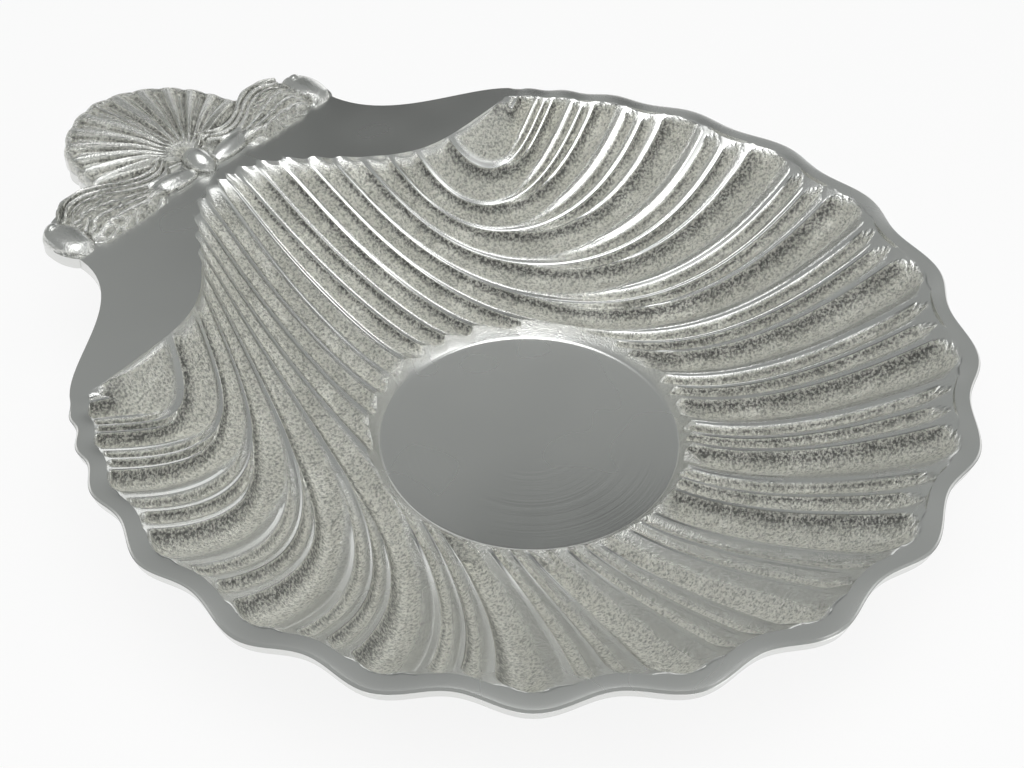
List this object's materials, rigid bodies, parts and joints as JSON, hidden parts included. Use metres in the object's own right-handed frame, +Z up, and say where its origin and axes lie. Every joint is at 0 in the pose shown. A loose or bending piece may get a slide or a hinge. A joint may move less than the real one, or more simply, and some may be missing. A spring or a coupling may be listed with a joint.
{
  "type": "shell dip plate",
  "caption": "Cast metal scallop-shell chip and dip plate: fluted basin, round dip well in its middle, polished rim and a shell handle at the hinge.",
  "frame": {"origin": "middle of the flat foot under the dip well, in the plane of the table", "axes": "+Z up out of the dish, +Y from the dip well towards the shell handle, +X to the right of the handle as seen from the rim"},
  "size_m": [0.2936, 0.3557, 0.0566],
  "materials": {
    "cast_aluminium": "buffed rim, ridges and dip well; as-cast grain in the flutes"
  },
  "bodies": {
    "root": {"shell_dish": "cast_aluminium"}
  },
  "joints": []
}
